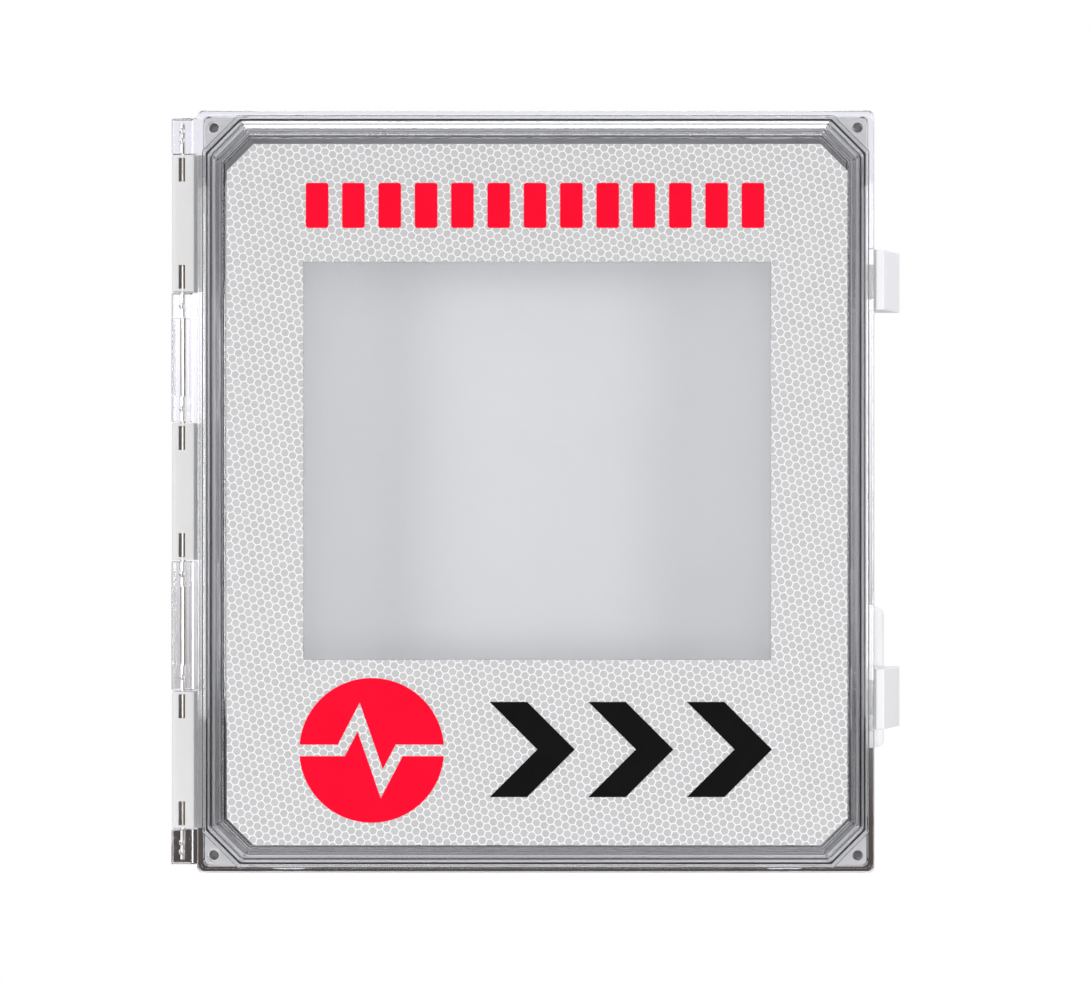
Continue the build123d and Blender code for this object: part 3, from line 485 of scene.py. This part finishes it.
# %% Vinyl
def vinyl(name, low, high, rough=0.45):
    """Cut vinyl on the film: the honeycomb under it just shows in its surface."""
    material, tree, surface, out = new_material(name)
    distance, chance = hexagon_cells(tree, CELL_PITCH, CELL_TURN)
    ridge = maths(tree, "GREATER_THAN", distance, 0.5 - SEAL_WIDTH / 2)
    tree.links.new(tint(tree, noise(tree, 40.0), low, high), surface.inputs["Base Color"])
    gloss = between(tree, noise(tree, 120.0), rough - 0.05, rough + 0.07)
    tree.links.new(gloss, surface.inputs["Roughness"])
    surface.inputs["Specular IOR Level"].default_value = 0.05
    set_bump(tree, surface, ridge, 0.00005, 0.4)
    return material


# %% [markdown]
# ## Give every part its finish
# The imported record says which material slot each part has. One table from slot to finish covers all of
# them, and a part that is added later gets its finish from its slot.

# %% Finishes
finishes = {
    "base_plastic": moulded("base_plastic", (0.73, 0.722, 0.71), (0.78, 0.772, 0.76)),
    "clear_cover": clear_plastic(),
    "latch_white": moulded("latch_white", (0.90, 0.90, 0.90), (0.93, 0.93, 0.925), 0.38, 0.00003),
    "stainless": steel(),
    "brass": turned_brass(),
    "panel_grey": satin_sheet(),
    "gasket_foam": foam(),
    "reflective_film": film(),
    "red_vinyl": vinyl("red_vinyl", (0.93, 0.000, 0.020), (1.0, 0.002, 0.030)),
    "black_vinyl": vinyl("black_vinyl", (0.002, 0.002, 0.002), (0.006, 0.006, 0.006), 0.6),
    "circuit_board": moulded("circuit_board", (0.02, 0.16, 0.07), (0.04, 0.22, 0.10), 0.35),
    "black_plastic": moulded("black_plastic", (0.015, 0.015, 0.015), (0.03, 0.03, 0.03)),
    "cell_case": steel(),
}
for part in frame["record"]["subparts"]:
    mesh = nodes[part["node"]].data
    mesh.materials.clear()
    mesh.materials.append(finishes[part["material_slot"]])
floor_mesh.materials.append(moulded("floor_card", (0.80, 0.80, 0.80), (0.83, 0.83, 0.83), 0.8))
print(len(finishes), "finishes on", len(nodes), "nodes")

# %% [markdown]
# ## The film as a sheet of its own
# The film is stuck on the cover, so in the CAD frame its back and the cover's front are one and the
# same plane. Seen through the clear cover from behind, two surfaces in one place flicker. The real film
# stands off the plastic by its adhesive, so the sheet is made again here with the same outline, front
# and window, and a back that clears the cover by a few hundredths of a millimetre.

# %% The film's outline
FILM_CUT = 15.0 * MM                # cut corners
WINDOW_SIDE = 42.9 * MM             # film's edge to the window
WINDOW_TOP = 66.1 * MM
WINDOW_BOTTOM = 104.0 * MM
ADHESIVE_GAP = 0.05 * MM


def reach(angles, sides):
    """How far a ray at each angle goes before it meets the nearest of several straight sides.

    A side is (direction it faces, distance from the middle). A ray meets it at distance / cos(angle
    between the two directions).
    """
    facing = np.array([side[0] for side in sides])
    away = np.array([side[1] for side in sides])
    cosine = np.cos(angles[:, None] - facing[None, :])
    return np.where(cosine > 1e-6, away / np.maximum(cosine, 1e-6), np.inf).min(axis=1)


# %% The film's two outlines
def film_outlines():
    """The sheet's edge and its window as points (x, z), one pair on each ray from the window's middle.

    The edge is a rectangle with cut corners, where a cut is a side that faces along a diagonal. Rays go out
    evenly, and every corner of either outline has a ray of its own.
    """
    low_x, high_x = film_low.x + WINDOW_SIDE, film_high.x - WINDOW_SIDE
    low_z, high_z = film_low.z + WINDOW_BOTTOM, film_high.z - WINDOW_TOP
    x0, z0 = (low_x + high_x) / 2, (low_z + high_z) / 2
    right, up, left, down = 0.0, math.pi / 2, math.pi, -math.pi / 2
    window = [(right, high_x - x0), (up, high_z - z0), (left, x0 - low_x), (down, z0 - low_z)]
    edge = [(right, film_high.x - x0), (up, film_high.z - z0),
            (left, x0 - film_low.x), (down, z0 - film_low.z)]
    root = math.sqrt(0.5)
    cuts = []
    corners = [(a, b) for a in (low_x - x0, high_x - x0) for b in (low_z - z0, high_z - z0)]
    for sx, wide in ((1, edge[0][1]), (-1, edge[2][1])):
        for sz, tall in ((1, edge[1][1]), (-1, edge[3][1])):
            cuts.append((math.atan2(sz, sx), (wide + tall - FILM_CUT) * root))
            corners += [(sx * wide, sz * (tall - FILM_CUT)), (sx * (wide - FILM_CUT), sz * tall)]
    angles = np.concatenate([np.linspace(-math.pi, math.pi, 96, endpoint=False),
                             np.array([math.atan2(b, a) for a, b in corners])])
    angles = np.unique(np.round(angles, 9))
    outer = reach(angles, edge + cuts)
    inner = reach(angles, window)
    ray = np.stack([np.cos(angles), np.sin(angles)], axis=1)
    middle = np.array([x0, z0])
    return middle + ray * outer[:, None], middle + ray * inner[:, None]


# %% Film sheet
def film_sheet():
    """A flat ring between the two outlines: four loops (front edge, front window, back window, back edge),
    each joined to the next by a strip of four-sided faces and the last to the first."""
    outer, inner = film_outlines()
    count = len(outer)
    back = film_high.y - ADHESIVE_GAP
    rings = []
    for outline, y in ((outer, film_low.y), (inner, film_low.y), (inner, back), (outer, back)):
        rings.append(np.insert(outline, 1, y, axis=1))
    here = np.arange(count)
    after = (here + 1) % count
    faces = []
    for k in range(4):
        one, two = k * count, (k + 1) % 4 * count
        faces += np.stack([one + here, one + after, two + after, two + here], axis=1).tolist()
    mesh = bpy.data.meshes.new("film_sheet")
    mesh.from_pydata(np.concatenate(rings).tolist(), [], faces)
    mesh.update()
    sheet = bpy.data.objects.new("film_sheet", mesh)
    bpy.context.scene.collection.objects.link(sheet)
    mesh.materials.append(finishes["reflective_film"])
    return sheet


sheet = film_sheet()
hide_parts("reflective_film")
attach(sheet, "cover")
print("film sheet", len(sheet.data.polygons), "faces")
